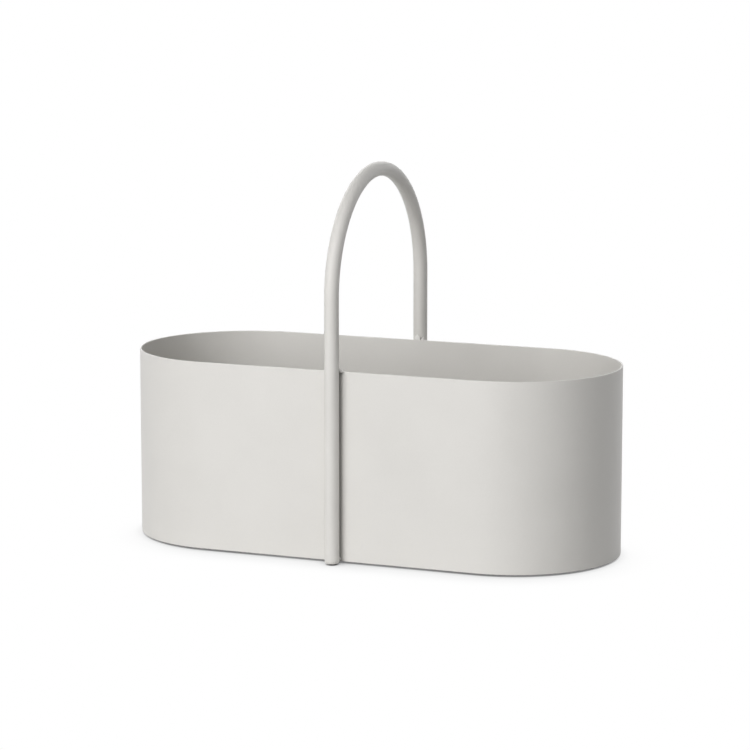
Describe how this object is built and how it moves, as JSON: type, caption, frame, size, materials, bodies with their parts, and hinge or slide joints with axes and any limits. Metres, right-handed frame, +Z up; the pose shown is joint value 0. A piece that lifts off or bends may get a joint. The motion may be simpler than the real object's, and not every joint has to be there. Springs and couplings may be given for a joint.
{
  "type": "metal storage basket",
  "caption": "Open round-ended sheet-metal basket with straight upright walls and a fixed tubular arch handle across its middle, for carrying and storing small things.",
  "frame": {"origin": "middle of the footprint, on the surface that the basket stands on", "axes": "+X along the body to the right, +Y to the rear, +Z up"},
  "size_m": [0.35, 0.1706, 0.2664],
  "materials": {
    "powder_coat": "light warm-grey powder coat on steel, matt with a fine orange-peel surface",
    "pad_rubber": "matt moulded rubber"
  },
  "bodies": {
    "root": {"wall_band": "powder_coat", "wall_seam_weld": "powder_coat", "base_plate": "powder_coat", "handle_tube": "powder_coat", "front_leg_cap": "powder_coat", "rear_leg_cap": "powder_coat", "front_rim_weld": "powder_coat", "rear_rim_weld": "powder_coat", "front_foot_weld_left": "powder_coat", "front_foot_weld_right": "powder_coat", "rear_foot_weld_left": "powder_coat", "rear_foot_weld_right": "powder_coat", "base_weld_front_left": "powder_coat", "base_weld_front_middle": "powder_coat", "base_weld_front_right": "powder_coat", "base_weld_rear_left": "powder_coat", "base_weld_rear_middle": "powder_coat", "base_weld_rear_right": "powder_coat", "base_weld_right_front": "powder_coat", "base_weld_right_rear": "powder_coat", "base_weld_left_rear": "powder_coat", "base_weld_left_front": "powder_coat", "foot_pad_front_left": "pad_rubber", "foot_pad_front_right": "pad_rubber", "foot_pad_rear_left": "pad_rubber", "foot_pad_rear_right": "pad_rubber"}
  },
  "joints": []
}
